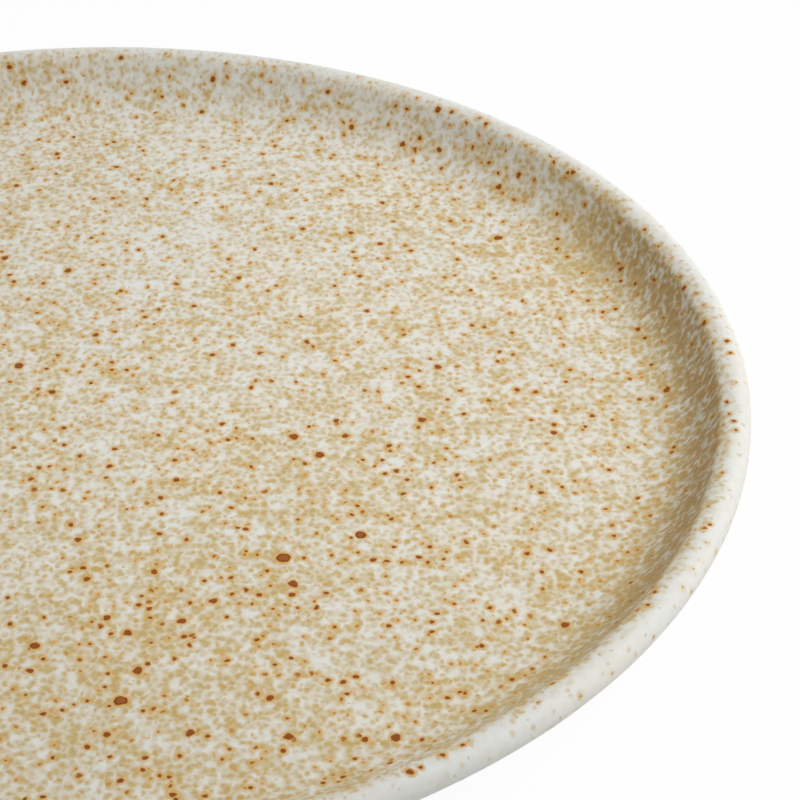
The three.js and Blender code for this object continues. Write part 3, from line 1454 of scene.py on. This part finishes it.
    def build(self) -> bpy.types.Object:
        """Make every speck as a low closed lens in one mesh and dress it.

        Returns:
            The piece.
        """
        draw = Random(self.seed + 1)
        points: list[Point] = []
        marks: list[Point] = []
        flat: list[Point] = []
        faces: list[tuple[int, ...]] = []
        places: list[tuple[float, float]] = []
        rims: list[int] = []
        columns = math.ceil(math.sqrt(len(self.specks)))
        for number, speck in enumerate(self.specks):
            start = len(points)
            self._lens(speck, draw, points, marks, flat)
            grid = LensGrid(start, speck.sides, (len(points) - start - 2) // speck.sides)
            faces.extend(grid.faces())
            rims.extend(grid.rim())
            places.extend(grid.map_places((number % columns, number // columns), columns))
        piece = mesh_object("iron_specks", points, faces)
        sharpen(piece, rims)
        corners = [corner for face in faces for corner in face]
        store_corners(piece, SPREAD, [flat[corner] for corner in corners])
        store_corners(piece, SPECK, [marks[corner] for corner in corners])
        store_map(piece, places)
        piece.data.materials.append(self.finish.material())
        return piece

    def _lens(self, speck: Speck, draw: Random, points: list, marks: list, flat: list) -> None:
        """Add one speck's points: its centre, rings out to the stain's edge, and a root below the glaze.

        Args:
            speck: The speck.
            draw: The source of chance.
            points: Takes the points.
            marks: Takes each point's distance from the core's edge, its heart and its stain's strength.
            flat: Takes each point's place in the flat layout.
        """
        section = self.section
        radius = self.core_share * speck.width / 2
        heart = 1.0 if speck.kind is SpeckKind.RINGED else 0.0
        strength = draw.uniform(0.55, 0.85)
        lobes = [(k, draw.uniform(0.0, 0.3 / k), draw.uniform(0.0, 6.28)) for k in (2, 3, 5)]
        drift_x = draw.uniform(-0.25, 0.1)
        drift_y = draw.uniform(-0.1, 0.25)
        reaches = [share * radius for share in (0.0, 0.4, 0.75, 1.0)]
        reaches += [radius + self.soft_edge, radius + self.stain_width / 2, radius + self.stain_width]
        about = max(section.at(speck.along)[0], 4.0)
        out_x = math.cos(speck.turn)
        out_y = math.sin(speck.turn)
        tall = self.dome * speck.width
        for place, reach in enumerate([*reaches, reaches[-1], 0.0]):
            sunk = place >= len(reaches)
            crown = max(0.0, 1 - (reach / (radius + 0.3)) ** 2)
            lift = -self.root if sunk else self.proud + tall * crown
            drifted = (reach / reaches[-1]) ** 2
            for step in range(1 if reach == 0.0 else speck.sides):
                angle = 2 * math.pi * step / speck.sides
                bulge = 1 + sum(size * math.sin(k * angle + phase) for k, size, phase in lobes)
                dx = reach * bulge * math.cos(angle) + drift_x * drifted
                dy = reach * bulge * math.sin(angle) + drift_y * drifted
                along = speck.along + dx * out_x + dy * out_y
                turn = speck.turn + (dy * out_x - dx * out_y) / about
                points.append(section.surface(along, turn, lift))
                flat.append(section.laid_flat(along, turn, speck.side))
                marks.append((reach - radius, heart, strength))


@dataclass
class Studio:
    """A white floor and soft white light, with the key lamp on the right."""

    floor_half: float = 9000.0
    floor_white: Colour = paint(238, 238, 236)
    backlight: float = 0.96  # share of the floor's own glow in what the camera sees of it
    key_place: Point = (441.0, -27.0, 491.0)
    key_aim: Point = (113.0, 24.0, 0.0)
    key_size: float = 339.0
    key_spread: float = math.radians(30)
    key_watts: float = 0.185
    surroundings: float = 0.115  # strength of the light from all round
    from_above: float = 0.68  # added straight overhead
    from_right: float = 0.196  # added on the right and taken away on the left
    from_behind: float = 0.158  # added behind the plate and taken away in front
    horizon: float = 1.0  # strength of the light at the horizon and below it

    def build(self) -> None:
        """Add the floor, the lamp and the surroundings."""
        self._floor()
        self._key()
        self._world()

    @staticmethod
    def _background_rays(sheet: NodeSheet) -> Wire:
        """Pick out the rays that show the background: straight, mirrored or through glass.

        Args:
            sheet: Where the nodes go.

        Returns:
            1 for those rays and 0 for others.
        """
        path = sheet.node("ShaderNodeLightPath", {}, {})
        straight = Wire(sheet, path.outputs["Is Camera Ray"])
        mirrored = Wire(sheet, path.outputs["Is Glossy Ray"])
        through = Wire(sheet, path.outputs["Is Transmission Ray"])
        return straight.at_least(mirrored).at_least(through)

    def _floor(self) -> None:
        """Add a flat floor sheet that glows white to the camera and still takes a faint shadow."""
        half = self.floor_half * METRES
        corners = [(-half, -half, 0.0), (half, -half, 0.0), (half, half, 0.0), (-half, half, 0.0)]
        mesh = bpy.data.meshes.new("studio_floor")
        mesh.from_pydata(corners, [], [(0, 1, 2, 3)])
        floor = bpy.data.objects.new("studio_floor", mesh)
        bpy.context.collection.objects.link(floor)
        material, sheet = fresh_material("studio_floor_white")
        paper = sheet.wire("ShaderNodeBsdfDiffuse", {}, {"Color": self.floor_white})
        glow = sheet.wire("ShaderNodeEmission", {}, {"Strength": 1.0})
        share = self._background_rays(sheet) * self.backlight
        surface = sheet.wire("ShaderNodeMixShader", {}, {0: share, 1: paper, 2: glow})
        sheet.node("ShaderNodeOutputMaterial", {}, {"Surface": surface})
        mesh.materials.append(material)

    def _key(self) -> None:
        """Add the soft key lamp, aimed at the plate."""
        data = bpy.data.lights.new("key_lamp", "AREA")
        data.energy = self.key_watts
        data.size = self.key_size * METRES
        data.spread = self.key_spread
        lamp = bpy.data.objects.new("key_lamp", data)
        place = Vector(self.key_place)
        lamp.location = place * METRES
        lamp.rotation_euler = (Vector(self.key_aim) - place).to_track_quat("-Z", "Y").to_euler()
        bpy.context.collection.objects.link(lamp)

    def _world(self) -> None:
        """Light the plate from all round and mostly from above, and show white behind it."""
        world = bpy.data.worlds.new("studio_world")
        world.use_nodes = True
        bpy.context.scene.world = world
        sheet = NodeSheet(world.node_tree)
        right, behind, rise = sheet.parts(sheet.wire("ShaderNodeTexCoord", {}, {}, "Generated"))
        level = self.surroundings + self.from_above * rise
        level = level + self.from_right * right + self.from_behind * behind
        strength = level.at_least(0.0).at_least(self.horizon * sheet.ease(rise, 0.1, 0.04))
        strength = strength.at_least(self._background_rays(sheet))
        light = sheet.wire("ShaderNodeBackground", {}, {"Color": (1, 1, 1, 1), "Strength": strength})
        sheet.node("ShaderNodeOutputWorld", {}, {"Surface": light})


# Where the photograph shows thicker or thinner mottling: pixel across, pixel down, reach in mm, push
PATCHES = (
    Patch(230, 600, 40.0, 0.1),
    Patch(90, 670, 36.0, 0.08),
    Patch(380, 460, 40.0, 0.05),
    Patch(600, 250, 22.0, 0.06),
    Patch(630, 580, 24.0, 0.06),
    Patch(160, 200, 20.0, 0.08),
    Patch(280, 600, 18.0, 0.07),
    Patch(120, 440, 16.0, 0.06),
    Patch(200, 760, 16.0, -0.07),
    Patch(360, 190, 14.0, -0.05),
    Patch(200, 260, 20.0, -0.03),
    Patch(430, 270, 16.0, -0.04),
)


def placed_patches(section: PlateSection, view: PhotoView) -> tuple[tuple[float, float, float, float], ...]:
    """Find the patches on the flat layout of the glaze.

    Args:
        section: The plate's section.
        view: The photograph's camera.

    Returns:
        Each patch's place in the layout, its reach and its push.
    """
    found = []
    for patch in PATCHES:
        along, turn = section.seen_at(view, patch.across, patch.down)
        x, y, _ = section.laid_flat(along, turn, Side.FACE)
        found.append((x, y, patch.reach, patch.push))
    return tuple(found)


def main() -> None:
    """Build the plate's pieces in order, then the camera and the studio."""
    logging.basicConfig(level=logging.INFO, format="%(name)s: %(message)s")
    bpy.context.scene.view_settings.view_transform = "Standard"
    coat_low, coat_high = (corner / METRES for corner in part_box("face_glaze"))
    island_low, island_high = (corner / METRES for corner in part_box("foot_well_glaze"))
    section = PlateSection(coat_high.x, coat_high.z, coat_low.z)
    view = PhotoView()
    patches = placed_patches(section, view)
    glaze = SpeckledGlaze(
        "speckled_glaze", section.flat_radius, section.lip_start, section.crest, patches=patches
    )
    plain = SpeckledGlaze(
        "foot_glaze", section.end, section.end, 2 * section.end, mottling=-0.05, nearer=0.0, freckling=0.08
    )
    clay = BareClay(section.coat_end, island_high.x)
    pieces = (
        ClayBody(section, clay),
        GlazeCoat(section, glaze),
        FootWellGlaze(plain, island_high.x, island_low.z, island_high.z),
        IronSpecks(section, view, IronSpeckGlaze(glaze)),
    )
    for piece in pieces:
        made = piece.build()
        LOG.info("%s: %d faces", made.name, len(made.data.polygons))
    view.build()
    Studio().build()


if __name__ == "__main__":
    main()
